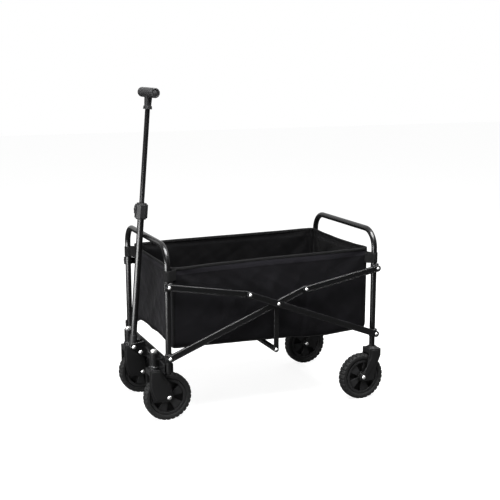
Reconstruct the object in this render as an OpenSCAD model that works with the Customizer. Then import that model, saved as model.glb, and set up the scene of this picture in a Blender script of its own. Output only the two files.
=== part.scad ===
// Folding camp wagon: a fabric basket hung on two upright frames that a scissor linkage draws together.
// Millimetres. +X runs forward to the pull handle, +Y to the left side, +Z up from the floor.
// The origin lies on the floor under the middle of the outline.

/* [Frame] */
// Distance between the front and rear upright frames when open
base_len = 700; // [560:5:900]
// Distance between the centrelines of the left and right uprights
frame_w = 412; // [340:2:520]
// Height of the centreline of the two top bars
hoop_z = 555; // [480:5:700]
// Outside diameter of the frame tube
tube_d = 18; // [14:0.5:22]
// Wall of the frame tube
tube_wall = 1.5; // [1:0.1:2.5]
// Centreline radius of the bends at the top of each frame
bend_r = 58; // [35:1:90]

/* [Scissor linkage] */
// Height of the lower pivots
pivot_low_z = 219; // [200:1:280]
// Rise of the scissor centre above the lower pivots
centre_rise = 136; // [110:1:170]
// Length of each brace beyond the scissor centre
brace_tail = 102; // [85:1:125]
// Distance between the two frames when folded
folded_len = 80; // [74:1:140]
// Width of the braces and links
bar_w = 20; // [16:0.5:24]
// Depth of the braces and links across the wagon
bar_t = 8; // [6:0.5:12]
// Sheet thickness of the braces and links
bar_wall = 1.6; // [1:0.1:2.5]
// Drop of the centre crossbar below the scissor centre
support_drop = 151; // [120:1:180]
// Diameter of the centre crossbar
crossbar_d = 16; // [12:0.5:20]

/* [Wheels] */
// Wheel diameter over the tyre
wheel_d = 150; // [120:2:180]
// Tyre width
tyre_w = 32; // [24:1:44]
// Depth of the tyre from its tread to the rim
tyre_depth = 19; // [14:1:26]
// Horizontal offset of the wheel axle from the leg or swivel axis
fork_offset = 40; // [30:1:55]
// Distance between the swivel axes of the two front casters
caster_track = 276; // [250:2:330]
// Distance of the swivel axes ahead of the front uprights
caster_fwd = 24; // [22:1:40]
// Diameter of the wheel axles
axle_d = 8; // [6:0.5:12]

/* [Pull handle] */
// Distance of the handle pivot ahead of the front uprights
handle_fwd = 50; // [44:1:70]
// Height of the handle pivot
handle_z = 204; // [190:1:220]
// Diameter of the lower handle tube
outer_tube_d = 20; // [18:0.5:26]
// Diameter of the upper, sliding handle tube
inner_tube_d = 15; // [12:0.5:17]
// Distance from the handle pivot to the bottom of the locking collar
collar_at = 406; // [380:2:460]
// Length of the locking collar
collar_len = 50; // [40:1:64]
// Travel of the upper handle tube
telescope = 280; // [200:5:300]
// Length of the grip
grip_len = 138; // [90:2:160]
// Diameter of the grip
grip_d = 30; // [24:1:36]
// Travel of the lock button
button_travel = 3; // [2:0.5:4]

/* [Basket] */
// Height of the top edge of the basket
rim_z = 497; // [440:1:520]
// Height of the top of the basket floor
floor_z = 238; // [225:1:260]
// Thickness of the basket cloth walls
cloth_t = 3; // [2:0.5:5]
// Thickness of the stiffened floor panels
board_t = 5; // [3:0.5:8]
// Distance from the uprights' centrelines to the basket's end folds
basket_inset = 18; // [14:1:30]
// Height of the webbing loops that hold the basket to the uprights
tab_h = 33; // [20:1:50]

/* [Hidden] */
$fn = 64;

// Clearances
run_gap = 0.05;      // round a pin that turns in its hole
layer_gap = 0.6;     // between bars that pass each other
cloth_gap = 0.6;     // between neighbouring cloth panels
weld_gap = 0.3;      // between plates that pass a turning piece

// Fore and aft places, with the outline's middle at X = 0
wheel_r = wheel_d / 2;
bracket_nose_r = 13;  // rounded front end of the handle bracket
front_reach = handle_fwd + bracket_nose_r;
rear_reach = wheel_r - fork_offset;
front_x = base_len / 2 - (front_reach - rear_reach) / 2;
rear_x = front_x - base_len;
mid_x = front_x - base_len / 2;
side_y = frame_w / 2;
tube_r = tube_d / 2;

// Scissor geometry: two lengths are worked out so that the linkage closes open and folded
arm_len = sqrt(pow(base_len / 2, 2) + pow(centre_rise, 2));
arm_sin_open = centre_rise / arm_len;
arm_cos_folded = folded_len / 2 / arm_len;
arm_sin_folded = sqrt(1 - pow(arm_cos_folded, 2));
open_angle = asin(arm_sin_open);
brace_len = arm_len + brace_tail;
pivot_gap = 2 * arm_len * brace_tail * (arm_sin_open + arm_sin_folded) / brace_len;
pivot_top_z = pivot_low_z + pivot_gap;
centre_z = pivot_low_z + centre_rise;
joint_x = brace_tail * cos(open_angle);
joint_z = centre_z + brace_tail * arm_sin_open;
link_len = norm([base_len / 2 - joint_x, pivot_top_z - joint_z]);
link_angle = atan2(pivot_top_z - joint_z, base_len / 2 - joint_x);

// Layers across the wagon, from the upright outwards
bar_inner_y = side_y + tube_r + 2;
bar_outer_y = bar_inner_y + bar_t + layer_gap;
rivet_r = 3;
rivet_head_r = 5;
rivet_head_h = 2.6;
bar_boss_r = rivet_r + 3;
saddle_half = 12;
saddle_boss_r = 9;
strut_t = 3;
strut_w = 16;
strut_y = bar_inner_y - layer_gap - strut_t;

// Forks and casters
fork_plate_t = 3.5;
fork_gap = 2.5;
fork_inner = tyre_w / 2 + fork_gap;
fork_outer = fork_inner + fork_plate_t;
fork_rib_t = 1.2;
rim_r = wheel_r - tyre_depth;
crown_half = 21;
crown_low = wheel_d + 2;
crown_top = crown_low + 15;
fork_front_z = wheel_r + 34;
fork_back_z = wheel_r + 44;
axle_cap_r = 6.5;
axle_cap_h = 3.2;
hub_r = 13;
hub_half = fork_inner - 1;
leg_low_z = crown_low + 4;
leg_collar_h = 7;
swivel_r = 14;
stem_r = 6;
stem_head_h = 4;
swivel_low = crown_top + 4;
swivel_top = swivel_low + 50;
caster_x = front_x + caster_fwd;
front_hub_x = caster_x - fork_offset;
rear_hub_x = rear_x + fork_offset;

// Front beam and handle bracket
beam_h = 28;
beam_low = swivel_low;
beam_wall = 1.6;
bracket_x = front_x + beam_h / 2;
bracket_t = 3;
foot_half = 12;
bracket_in = foot_half + weld_gap;
bolt_r = 4;
bolt_head_r = 6.5;
bolt_head_h = 3.5;
bracket_back_rise = 16;
handle_x = front_x + handle_fwd;
lower_bolt = [handle_x - 21, handle_z - 19];
rest_gap = 0.5;      // between the leaning handle and the front top bar
lean_reach = norm([hoop_z - handle_z, handle_fwd]);
lean = atan2(handle_fwd, hoop_z - handle_z)
     - asin((tube_r + outer_tube_d / 2 + rest_gap) / lean_reach);

// Handle parts, measured along the handle from its pivot
outer_tube_r = outer_tube_d / 2;
inner_tube_r = inner_tube_d / 2;
outer_wall = 1.2;
tube_start = 16;
tube_end = collar_at + 20;
inner_start = collar_at - 60;
neck_gap = 8;        // between neck and collar with the handle pushed in
neck_start = collar_at + collar_len + telescope + neck_gap;
neck_flare_h = 10;
neck_len = 38;
handle_len = neck_start + neck_len + 12;
foot_r = 11;
collar_r = 20;
button_r = 7;
button_pad = 2;      // rise of the pad round the button above the collar's flats
button_at = collar_at + collar_len * 0.6;
cap_rim = 4;
cap_recess = 6;
collar_flat = collar_r * cos(22.5);

// Basket
basket_half = base_len / 2 - basket_inset;
panel_len = basket_half / 2;
wall_y = side_y - tube_r - 1;
tab_t = 2;
tab_low = pivot_top_z + 15;

steel_black = [0.06, 0.06, 0.065];
plastic_black = [0.09, 0.09, 0.095];
cloth_black = [0.05, 0.05, 0.055];
zinc = [0.78, 0.78, 0.78];

// ---- shared shapes ----

module both_sides() {
  children();
  mirror([0, 1, 0]) children();
}

// A cylinder that runs along Y from y0 to y1
module rod_y(r, y0, y1) {
  translate([0, y0, 0]) rotate([-90, 0, 0]) cylinder(r = r, h = y1 - y0);
}

// A domed head that stands on the XZ plane and rises along +Y
module dome_y(r, h) {
  ball = (r * r + h * h) / (2 * h);
  rotate([-90, 0, 0]) rotate_extrude() intersection() {
    translate([0, h - ball]) circle(r = ball);
    square([r, h]);
  }
}

// The centreline solid of an upright frame: two legs, two bends and the top bar
module hoop_path(r, low_z) {
  leg_top = hoop_z - bend_r;
  both_sides() {
    translate([0, side_y, low_z]) cylinder(r = r, h = leg_top - low_z);
    translate([0, side_y - bend_r, leg_top]) rotate([90, 0, 90])
      rotate_extrude(angle = 90) translate([bend_r, 0]) circle(r = r);
  }
  translate([0, 0, hoop_z]) rod_y(r, -side_y + bend_r, side_y - bend_r);
}

module hoop(low_z) {
  difference() {
    hoop_path(tube_r, low_z);
    hoop_path(tube_r - tube_wall, low_z - 1);
  }
}

// A pivot saddle on an upright: a block that hugs the tube, with a boss out to the bar's layer
module saddle(z, boss_y) {
  translate([0, 0, z]) difference() {
    union() {
      translate([-saddle_half, side_y, -saddle_half])
        cube([2 * saddle_half, tube_r + 1, 2 * saddle_half]);
      rod_y(saddle_boss_r, side_y + tube_r, boss_y);
    }
    translate([0, side_y, -saddle_half - 1]) cylinder(r = tube_r, h = 2 * saddle_half + 2);
    rod_y(rivet_r, side_y, boss_y + 1);
  }
}

// A rivet on an upright that carries a bar whose outer face is at face_y
module frame_rivet(z, face_y) {
  translate([0, 0, z]) {
    rod_y(rivet_r, side_y + tube_r, face_y + layer_gap / 2);
    translate([0, face_y + layer_gap / 2, 0]) dome_y(rivet_head_r, rivet_head_h);
  }
}

// A pressed channel bar from its first pivot along +X, with bosses and bores where at lists them
module channel_bar(len, at) {
  r = bar_w / 2;
  inner = r - bar_wall;
  difference() {
    union() {
      rod_y(r, 0, bar_t);
      translate([len, 0, 0]) rod_y(r, 0, bar_t);
      translate([0, 0, -r]) cube([len, bar_t, bar_w]);
    }
    difference() {
      union() {
        rod_y(inner, -1, bar_t - bar_wall);
        translate([len, 0, 0]) rod_y(inner, -1, bar_t - bar_wall);
        translate([0, -1, -inner]) cube([len, bar_t - bar_wall + 1, 2 * inner]);
      }
      for (x = at) translate([x, 0, 0]) rod_y(bar_boss_r, 0, bar_t);
    }
    for (x = at) translate([x, 0, 0]) rod_y(rivet_r + run_gap, -1, bar_t + 1);
  }
}

// ---- frames ----

module rear_hoop() {
  color(steel_black) translate([rear_x, 0, 0]) hoop(leg_low_z);
}

module front_hoop() {
  color(steel_black) translate([front_x, 0, 0]) hoop(beam_low + 2);
}

// Lower cross tube of the rear frame, its ends coped to the uprights
module rear_cross_tube() {
  color(steel_black) translate([rear_x, 0, pivot_low_z - 5]) difference() {
    rod_y(tube_r - 1, -side_y, side_y);
    rod_y(tube_r - 1 - tube_wall, -side_y - 1, side_y + 1);
    both_sides() translate([0, side_y, -tube_d]) cylinder(r = tube_r, h = 2 * tube_d);
  }
}

module rear_pivot_brackets() {
  color(steel_black) translate([rear_x, 0, 0]) both_sides() {
    saddle(pivot_low_z, bar_outer_y - layer_gap / 2);
    saddle(pivot_top_z, bar_outer_y - layer_gap / 2);
  }
}

module rear_frame_rivets() {
  color(zinc) translate([rear_x, 0, 0]) both_sides() {
    frame_rivet(pivot_low_z, bar_outer_y + bar_t);
    frame_rivet(pivot_top_z, bar_outer_y + bar_t);
  }
}

module front_pivot_brackets() {
  color(steel_black) translate([front_x, 0, 0]) both_sides() {
    saddle(pivot_low_z, bar_inner_y - layer_gap / 2);
    saddle(pivot_top_z, bar_inner_y - layer_gap / 2);
  }
}

module front_frame_rivets() {
  color(zinc) translate([front_x, 0, 0]) both_sides() {
    frame_rivet(pivot_low_z, bar_inner_y + bar_t);
    frame_rivet(pivot_top_z, bar_inner_y + bar_t);
  }
}

// Box beam across the foot of the front frame, its ends coped to the uprights
module front_beam() {
  half = beam_h / 2;
  color(steel_black) translate([front_x, 0, beam_low]) difference() {
    translate([-half, -side_y, 0]) cube([beam_h, frame_w, beam_h]);
    translate([-half + beam_wall, -side_y - 1, beam_wall])
      cube([beam_h - 2 * beam_wall, frame_w + 2, beam_h - 2 * beam_wall]);
    both_sides() {
      translate([0, side_y, -1]) cylinder(r = tube_r, h = beam_h + 2);
      translate([-half - 1, side_y, -1]) cube([beam_h + 2, tube_d, beam_h + 2]);
    }
  }
}

// Swivel housings of the front casters, flattened where they meet the beam
module caster_housings() {
  color(steel_black) both_sides() difference() {
    translate([caster_x, caster_track / 2, swivel_low]) union() {
      cylinder(r = swivel_r, h = swivel_top - swivel_low);
      cylinder(r = swivel_r + 3, h = 5);
      translate([-caster_fwd, -swivel_r, beam_low + beam_h - swivel_low])
        cube([caster_fwd, 2 * swivel_r, 4]);
    }
    translate([front_x - beam_h / 2, 0, beam_low]) cube([beam_h, side_y, beam_h]);
    translate([caster_x, caster_track / 2, swivel_low - 1])
      cylinder(r = stem_r + run_gap, h = swivel_top - swivel_low + 2);
  }
}

// ---- scissor ----

module brace_rear_left() {
  color(steel_black) translate([rear_x, bar_outer_y, pivot_low_z]) rotate([0, -open_angle, 0])
    channel_bar(brace_len, [0, arm_len, brace_len]);
}

module brace_rear_right() {
  mirror([0, 1, 0]) brace_rear_left();
}

module brace_front_left() {
  color(steel_black) translate([front_x, bar_inner_y, pivot_low_z]) mirror([1, 0, 0])
    rotate([0, -open_angle, 0]) channel_bar(brace_len, [0, arm_len, brace_len]);
}

module brace_front_right() {
  mirror([0, 1, 0]) brace_front_left();
}

module link_front_left() {
  color(steel_black) translate([front_x, bar_inner_y, pivot_top_z]) mirror([1, 0, 0])
    rotate([0, link_angle, 0]) channel_bar(link_len, [0, link_len]);
}

module link_front_right() {
  mirror([0, 1, 0]) link_front_left();
}

module link_rear_left() {
  color(steel_black) translate([rear_x, bar_outer_y, pivot_top_z]) rotate([0, link_angle, 0])
    channel_bar(link_len, [0, link_len]);
}

module link_rear_right() {
  mirror([0, 1, 0]) link_rear_left();
}

// A stud that fills the hole of an outer bar at its open pivot and carries the visible head
module end_stud() {
  face = bar_outer_y + bar_t;
  rod_y(rivet_r, bar_outer_y, face + layer_gap / 2);
  translate([0, face + layer_gap / 2, 0]) dome_y(rivet_head_r, rivet_head_h);
}

// Centre rivet through both braces and the strut, and the stud at the brace's end
module brace_rivets_left() {
  face = bar_outer_y + bar_t;
  color(zinc) {
    translate([mid_x, 0, centre_z]) {
      rod_y(rivet_r, strut_y - layer_gap, face + layer_gap / 2);
      translate([0, face + layer_gap / 2, 0]) dome_y(rivet_head_r, rivet_head_h);
      rod_y(rivet_head_r, strut_y - layer_gap - 1.6, strut_y - layer_gap / 2);
    }
    translate([mid_x + joint_x, 0, joint_z]) end_stud();
  }
}

module brace_rivets_right() {
  mirror([0, 1, 0]) brace_rivets_left();
}

module link_stud_left() {
  color(zinc) translate([mid_x - joint_x, 0, joint_z]) end_stud();
}

module link_stud_right() {
  mirror([0, 1, 0]) link_stud_left();
}

// Flat struts that hang from the scissor centre
module support_struts() {
  color(steel_black) both_sides() translate([mid_x, strut_y, centre_z]) difference() {
    union() {
      rod_y(strut_w / 2, 0, strut_t);
      translate([0, 0, -support_drop]) rod_y(strut_w / 2, 0, strut_t);
      translate([-strut_w / 2, 0, -support_drop]) cube([strut_w, strut_t, support_drop]);
    }
    rod_y(rivet_r + run_gap, -1, strut_t + 1);
    translate([0, 0, -support_drop]) rod_y(rivet_r + run_gap, -1, strut_t + 1);
  }
}

module support_crossbar() {
  half = strut_y - run_gap;
  color(steel_black) translate([mid_x, 0, centre_z - support_drop]) difference() {
    rod_y(crossbar_d / 2, -half, half);
    both_sides() rod_y(rivet_r, half - 25, half + 1);
    rod_y(crossbar_d / 2 - tube_wall, -half + 25, half - 25);
  }
}

module support_bolts() {
  face = strut_y + strut_t;
  color(zinc) translate([mid_x, 0, centre_z - support_drop]) both_sides() {
    rod_y(rivet_r, strut_y - 20, face);
    translate([0, face, 0]) dome_y(rivet_head_r, rivet_head_h);
  }
}

// ---- forks, casters and wheels ----

// Outline of a rear fork plate, with the leg axis at 0 and the axle ahead of it
module fork_outline() {
  polygon([
    [-crown_half, crown_top], [crown_half, crown_top], [crown_half, crown_low],
    [fork_offset - 12, fork_front_z], [fork_offset + hub_r, wheel_r],
    [fork_offset, wheel_r - hub_r], [4, wheel_r - hub_r], [-11, fork_back_z],
    [-crown_half, crown_low - 8]
  ]);
  translate([fork_offset, wheel_r]) circle(r = hub_r);
}

// Raised rib of a rear fork plate
module fork_rib() {
  polygon([
    [-12, crown_top - 4], [12, crown_top - 4], [12, crown_low - 8], [fork_offset, wheel_r + 9],
    [fork_offset - 9, wheel_r], [2, wheel_r + 40], [-12, crown_low - 8]
  ]);
  translate([fork_offset, wheel_r]) circle(r = 9);
}

// Outline of a caster fork plate: as the rear one, but broad from the crown down to the axle
module caster_outline() {
  polygon([
    [-crown_half, crown_top], [crown_half, crown_top], [crown_half, crown_low],
    [fork_offset + 5, fork_back_z], [fork_offset + hub_r, wheel_r],
    [fork_offset, wheel_r - hub_r], [12 - crown_half, wheel_r - hub_r + 4],
    [-crown_half, fork_front_z], [-crown_half, crown_low - 8]
  ]);
  translate([fork_offset, wheel_r]) circle(r = hub_r);
}

// Raised panel of a caster fork plate
module caster_rib() {
  edge = 5;
  polygon([
    [edge - crown_half, crown_top - 4], [crown_half - edge, crown_top - 4],
    [crown_half - edge, crown_low - 3], [fork_offset, fork_back_z - 3],
    [fork_offset, wheel_r + 9], [fork_offset - 9, wheel_r - 3], [14 + edge - crown_half, wheel_r - 3],
    [edge - crown_half, fork_front_z]
  ]);
  translate([fork_offset, wheel_r]) circle(r = 9);
}

module plate_xz(y0, t) {
  translate([0, y0 + t, 0]) rotate([90, 0, 0]) linear_extrude(t) children();
}

// Fork: two plates joined by a crown over the wheel. Its children are the outline and the rib
module fork() {
  difference() {
    union() {
      both_sides() {
        plate_xz(fork_inner, fork_plate_t) children(0);
        plate_xz(fork_outer, fork_rib_t) children(1);
      }
      translate([-crown_half, -fork_inner, crown_low])
        cube([2 * crown_half, 2 * fork_inner, crown_top - crown_low]);
    }
    translate([fork_offset, 0, wheel_r]) rod_y(axle_d / 2 + run_gap, -fork_outer - 3, fork_outer + 3);
  }
}

// Axle bolt with a domed cap at each end
module axle() {
  half = fork_outer + fork_rib_t;
  rod_y(axle_d / 2, -half, half);
  both_sides() translate([0, half, 0]) dome_y(axle_cap_r, axle_cap_h);
}

// Fixed rear forks, each with a tapered collar round the leg
module rear_forks() {
  color(plastic_black) both_sides() translate([rear_x, side_y, 0]) difference() {
    union() {
      fork() {
        fork_outline();
        fork_rib();
      }
      translate([0, 0, crown_top])
        cylinder(r1 = crown_half - 1, r2 = tube_r + 2.5, h = leg_collar_h);
    }
    translate([0, 0, leg_low_z]) cylinder(r = tube_r, h = crown_top + leg_collar_h);
  }
}

module rear_axles() {
  color(zinc) both_sides() translate([rear_hub_x, side_y, wheel_r]) axle();
}

module caster_fork_left() {
  color(plastic_black) translate([caster_x, caster_track / 2, 0]) mirror([1, 0, 0]) difference() {
    union() {
      fork() {
        caster_outline();
        caster_rib();
      }
      translate([0, 0, crown_top]) cylinder(r = swivel_r + 2, h = swivel_low - crown_top - weld_gap);
    }
    translate([0, 0, crown_low - 1]) cylinder(r = stem_r, h = swivel_low);
    translate([0, 0, crown_low - 1]) cylinder(r = stem_r + 4, h = stem_head_h + 1);
  }
}

module caster_fork_right() {
  mirror([0, 1, 0]) caster_fork_left();
}

// Swivel bolt with its head in the crown and its nut on the housing, and the axle
module caster_bolts_left() {
  color(zinc) {
    translate([caster_x, caster_track / 2, 0]) {
      translate([0, 0, crown_low]) cylinder(r = stem_r, h = swivel_top + 8 - crown_low);
      translate([0, 0, crown_low]) cylinder(r = stem_r + 3.5, h = stem_head_h);
      translate([0, 0, swivel_top + weld_gap]) cylinder(r = stem_r + 4, h = 6, $fn = 6);
    }
    translate([front_hub_x, caster_track / 2, wheel_r]) axle();
  }
}

module caster_bolts_right() {
  mirror([0, 1, 0]) caster_bolts_left();
}

// Moulded wheel: rim, thin web and hub, with wedge-shaped spokes standing on both faces of the
// web; turn is the first spoke's angle
module wheel_body(turn) {
  spokes = 5;
  web_half = 1;
  recess_half = web_half + 1;
  rim_half = tyre_w / 2 - 3;
  rim_lip = 8;
  spoke_half = rim_half - 2;
  spoke_end = rim_r * tan(19);
  difference() {
    union() {
      rod_y(rim_r, -rim_half, rim_half);
      rod_y(hub_r, -hub_half, hub_half);
    }
    for (s = [0, 1]) mirror([0, s, 0]) difference() {
      rod_y(rim_r - rim_lip, recess_half, rim_half + 1);
      rod_y(hub_r + 3, web_half, rim_half + 2);
      for (i = [0 : spokes - 1]) rotate([0, turn + i * 360 / spokes, 0])
        plate_xz(web_half, spoke_half - web_half)
          polygon([[0, -2], [rim_r, -spoke_end], [rim_r, spoke_end], [0, 2]]);
    }
    rod_y(axle_d / 2 + run_gap, -hub_half - 1, hub_half + 1);
  }
}

// Tyre: a ring with rounded shoulders
module tyre_body() {
  half = tyre_w / 2;
  shoulder = 9;
  rotate([90, 0, 0]) rotate_extrude() difference() {
    union() {
      translate([rim_r, -half + 2]) square([wheel_r - rim_r - shoulder, tyre_w - 4]);
      translate([wheel_r - shoulder - 4, -half]) square([4, tyre_w]);
      translate([wheel_r - shoulder, -half + shoulder]) square([shoulder, tyre_w - 2 * shoulder]);
      for (s = [-1, 1]) translate([wheel_r - shoulder, s * (half - shoulder)]) circle(r = shoulder);
    }
    square([rim_r, tyre_w], center = true);
  }
}

module at_front_hub(side) {
  translate([front_hub_x, side * caster_track / 2, wheel_r]) children();
}

module at_rear_hub(side) {
  translate([rear_hub_x, side * side_y, wheel_r]) children();
}

module wheel_front_left() { color(plastic_black) at_front_hub(1) wheel_body(63); }
module wheel_front_right() { color(plastic_black) at_front_hub(-1) wheel_body(10); }
module wheel_rear_left() { color(plastic_black) at_rear_hub(1) wheel_body(30); }
module wheel_rear_right() { color(plastic_black) at_rear_hub(-1) wheel_body(18); }
module tyre_front_left() { color(plastic_black) at_front_hub(1) tyre_body(); }
module tyre_front_right() { color(plastic_black) at_front_hub(-1) tyre_body(); }
module tyre_rear_left() { color(plastic_black) at_rear_hub(1) tyre_body(); }
module tyre_rear_right() { color(plastic_black) at_rear_hub(-1) tyre_body(); }

// ---- pull handle ----

// U-shaped bracket on the beam that carries the handle
module handle_bracket() {
  nose = [handle_x, handle_z];
  color(steel_black) {
    difference() {
      union() {
        both_sides() plate_xz(bracket_in, bracket_t) {
          polygon([
            [bracket_x, beam_low], [lower_bolt[0] + 4, beam_low],
            [nose[0] + bracket_nose_r * 0.7, nose[1] - bracket_nose_r * 0.7],
            [nose[0] + bracket_nose_r, nose[1]], [nose[0], nose[1] + bracket_nose_r],
            [bracket_x, nose[1] + bracket_nose_r + 4]
          ]);
          translate(nose) circle(r = bracket_nose_r);
        }
        translate([bracket_x, -bracket_in - bracket_t, beam_low])
          cube([bracket_t, 2 * (bracket_in + bracket_t), beam_h + bracket_back_rise]);
      }
      for (p = [nose, lower_bolt]) translate([p[0], 0, p[1]])
        rod_y(bolt_r + run_gap, -bracket_in - bracket_t - 1, bracket_in + bracket_t + 1);
    }
  }
}

// Pivot bolt and cross bolt of the bracket
module handle_bolts() {
  half = bracket_in + bracket_t;
  color(zinc) for (p = [[handle_x, handle_z], lower_bolt]) translate([p[0], 0, p[1]]) {
    rod_y(bolt_r, -half, half);
    both_sides() translate([0, half, 0]) dome_y(bolt_head_r, bolt_head_h);
  }
}

// Puts a piece on the handle, with Z along the handle from its pivot
module on_handle() {
  translate([handle_x, 0, handle_z]) rotate([0, -lean, 0]) children();
}

module handle_foot() {
  color(plastic_black) on_handle() difference() {
    union() {
      rod_y(foot_r, -foot_half, foot_half);
      cylinder(r = outer_tube_r + 1.6, h = tube_start + 22);
    }
    rod_y(bolt_r + run_gap, -foot_half - 1, foot_half + 1);
    translate([0, 0, tube_start]) cylinder(r = outer_tube_r, h = 40);
  }
}

module handle_tube() {
  color(steel_black) on_handle() translate([0, 0, tube_start]) difference() {
    cylinder(r = outer_tube_r, h = tube_end - tube_start);
    translate([0, 0, -1]) cylinder(r = outer_tube_r - outer_wall, h = tube_end - tube_start + 2);
  }
}

// Eight-sided locking collar on the lower tube, with a raised pad for the button
module lock_collar() {
  pocket = button_travel + 5;
  color(plastic_black) on_handle() difference() {
    union() {
      translate([0, 0, collar_at + 4]) rotate([0, 0, 22.5])
        cylinder(r = collar_r, h = collar_len - 8, $fn = 8);
      translate([0, 0, collar_at]) cylinder(r = collar_r - 4.5, h = collar_len);
      translate([0, -button_r - 2, button_at - 13])
        cube([collar_flat + button_pad, 2 * button_r + 4, 24]);
    }
    translate([0, 0, collar_at - 1]) cylinder(r = outer_tube_r, h = tube_end - collar_at + 1);
    translate([0, 0, collar_at - 1]) cylinder(r = inner_tube_r + run_gap, h = collar_len + 2);
    translate([collar_flat + button_pad - pocket, 0, button_at]) rotate([0, 90, 0])
      cylinder(r = button_r + 0.1, h = pocket + 1);
  }
}

module lock_button() {
  color(plastic_black) on_handle() translate([collar_flat + button_pad - 5, 0, button_at])
    rotate([0, 90, 0]) {
      cylinder(r = button_r, h = 6);
      translate([0, 0, 6]) cylinder(r1 = button_r, r2 = button_r - 1.5, h = 1.2);
    }
}

module inner_tube() {
  color(steel_black) on_handle() translate([0, 0, inner_start]) difference() {
    cylinder(r = inner_tube_r, h = neck_start + 30 - inner_start);
    translate([0, 0, -1]) cylinder(r = inner_tube_r - outer_wall, h = neck_start + 32 - inner_start);
  }
}

// Guide bush on the foot of the inner tube
module inner_bush() {
  color(plastic_black) on_handle() translate([0, 0, inner_start - 4]) difference() {
    cylinder(r = outer_tube_r - outer_wall - 0.1, h = 24);
    translate([0, 0, 4]) cylinder(r = inner_tube_r, h = 30);
  }
}

// T grip: a barrel-shaped bar with grooves, on a flared neck
module handle_grip() {
  half = grip_len / 2;
  r = grip_d / 2;
  color(plastic_black) on_handle() difference() {
    union() {
      translate([0, 0, handle_len]) {
        rod_y(r - 1.5, -half, half);
        rod_y(r, -half + 4, half - 4);
      }
      translate([0, 0, neck_start]) cylinder(r1 = 14, r2 = 12.5, h = neck_flare_h);
      translate([0, 0, neck_start + neck_flare_h]) cylinder(r1 = 10.5, r2 = 12.5, h = neck_len);
    }
    translate([0, 0, neck_start - 1]) cylinder(r = inner_tube_r, h = 31);
    both_sides() translate([0, half, handle_len]) rod_y(r - cap_rim, -cap_recess, 1);
    both_sides() for (y = [18 : 7 : half - 12]) translate([0, y, handle_len]) difference() {
      rod_y(r + 1, 0, 2);
      rod_y(r - 1.2, -1, 3);
    }
  }
}

module grip_caps() {
  half = grip_len / 2;
  r = grip_d / 2 - cap_rim;
  color(plastic_black) on_handle() both_sides() translate([0, half - cap_recess, handle_len]) {
    rod_y(r, 0, 3);
    translate([0, 3, 0]) dome_y(r - 2, 1.6);
  }
}

// ---- basket ----

// Webbing loop round an upright, joined to the end panel
module tab(dir) {
  loop_r = tube_r + tab_t;
  translate([0, side_y, tab_low]) {
    difference() {
      union() {
        cylinder(r = loop_r, h = tab_h);
        translate([dir > 0 ? -basket_inset : 0, -loop_r, 0]) cube([basket_inset, tab_t + 1, tab_h]);
      }
      translate([0, 0, -1]) cylinder(r = tube_r + 0.2, h = tab_h + 2);
    }
  }
}

module end_panel(dir) {
  x = dir > 0 ? -basket_inset + cloth_gap / 2 : basket_inset - cloth_gap / 2 - cloth_t;
  translate([x, -wall_y, floor_z]) cube([cloth_t, 2 * wall_y, rim_z - floor_z]);
  both_sides() tab(dir);
}

module bag_front_panel() {
  color(cloth_black) translate([front_x, 0, 0]) end_panel(1);
}

module bag_rear_panel() {
  color(cloth_black) translate([rear_x, 0, 0]) end_panel(-1);
}

// Side panel number i, counted from the front, between two fold lines
module side_panel(i) {
  color(cloth_black) translate([mid_x + basket_half - (i + 1) * panel_len + cloth_gap / 2,
                                wall_y - cloth_t, floor_z])
    cube([panel_len - cloth_gap, cloth_t, rim_z - floor_z]);
}

module bag_side_left_1() { side_panel(0); }
module bag_side_left_2() { side_panel(1); }
module bag_side_left_3() { side_panel(2); }
module bag_side_left_4() { side_panel(3); }
module bag_side_right_1() { mirror([0, 1, 0]) side_panel(0); }
module bag_side_right_2() { mirror([0, 1, 0]) side_panel(1); }
module bag_side_right_3() { mirror([0, 1, 0]) side_panel(2); }
module bag_side_right_4() { mirror([0, 1, 0]) side_panel(3); }

// Half of the stiffened floor, from the middle to one end fold
module floor_panel() {
  half_w = wall_y - cloth_t - cloth_gap;
  color(cloth_black) translate([cloth_gap / 2, -half_w, floor_z - board_t])
    cube([basket_half - cloth_gap, 2 * half_w, board_t]);
}

module bag_floor_front() {
  translate([mid_x, 0, 0]) floor_panel();
}

module bag_floor_rear() {
  translate([mid_x, 0, 0]) mirror([1, 0, 0]) floor_panel();
}

rear_hoop();
rear_cross_tube();
rear_pivot_brackets();
rear_frame_rivets();
rear_forks();
rear_axles();
bag_rear_panel();
front_hoop();
front_beam();
caster_housings();
front_pivot_brackets();
front_frame_rivets();
handle_bracket();
handle_bolts();
bag_front_panel();
brace_rear_left();
brace_rear_right();
brace_front_left();
brace_front_right();
link_front_left();
link_front_right();
link_rear_left();
link_rear_right();
brace_rivets_left();
brace_rivets_right();
link_stud_left();
link_stud_right();
support_struts();
support_crossbar();
support_bolts();
caster_fork_left();
caster_fork_right();
caster_bolts_left();
caster_bolts_right();
wheel_front_left();
wheel_front_right();
wheel_rear_left();
wheel_rear_right();
tyre_front_left();
tyre_front_right();
tyre_rear_left();
tyre_rear_right();
handle_foot();
handle_tube();
lock_collar();
lock_button();
inner_tube();
inner_bush();
handle_grip();
grip_caps();
bag_floor_front();
bag_floor_rear();
bag_side_left_1();
bag_side_left_2();
bag_side_left_3();
bag_side_left_4();
bag_side_right_1();
bag_side_right_2();
bag_side_right_3();
bag_side_right_4();
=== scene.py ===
"""Folding camp wagon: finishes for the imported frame, the sewn cloth basket, its webbing and
trim, the knobbly tyres, and a plain studio. Metres; +X forward to the handle, +Y left, +Z up."""

import math

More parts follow.
